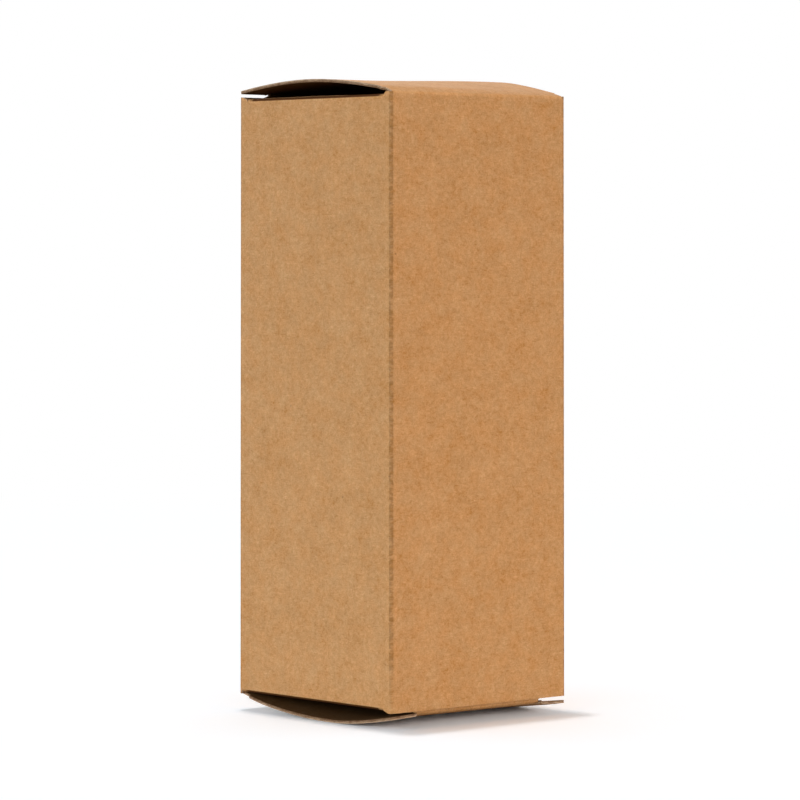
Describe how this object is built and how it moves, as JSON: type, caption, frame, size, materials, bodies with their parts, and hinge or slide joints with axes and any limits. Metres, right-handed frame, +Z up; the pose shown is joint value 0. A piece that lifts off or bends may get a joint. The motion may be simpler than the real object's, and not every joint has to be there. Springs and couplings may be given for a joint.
{
  "type": "closed cardboard box",
  "caption": "Slim upright reverse tuck carton of plain kraft paperboard, closed, with bulging slit-lock closures at the top and bottom that swing open on their creases.",
  "frame": {"origin": "centre of the footprint, on the surface that the carton stands on", "axes": "+Z up along the carton's height; -Y is the outward normal of the front wall, which carries the top closure; +X is the right wall, where the glue seam is"},
  "size_m": [0.035, 0.035, 0.0964],
  "materials": {
    "kraft_board": "uncoated brown kraft paperboard, matt, with fine fibre speckle",
    "dried_glue": "thin film of dried carton glue, dull"
  },
  "bodies": {
    "sleeve": {"sleeve": "kraft_board", "glue_line": "dried_glue"},
    "top_closure": {"top_closure": "kraft_board"},
    "bottom_closure": {"bottom_closure": "kraft_board"}
  },
  "joints": [
    {"name": "top_closure_hinge", "type": "hinge", "parent": "sleeve", "child": "top_closure", "pos_m": [0, -0.01727, 0.09348], "axis": [1, 0, 0], "range_deg": [0, 120]},
    {"name": "bottom_closure_hinge", "type": "hinge", "parent": "sleeve", "child": "bottom_closure", "pos_m": [0, 0.01727, 0.00272], "axis": [1, 0, 0], "range_deg": [0, 120]}
  ]
}
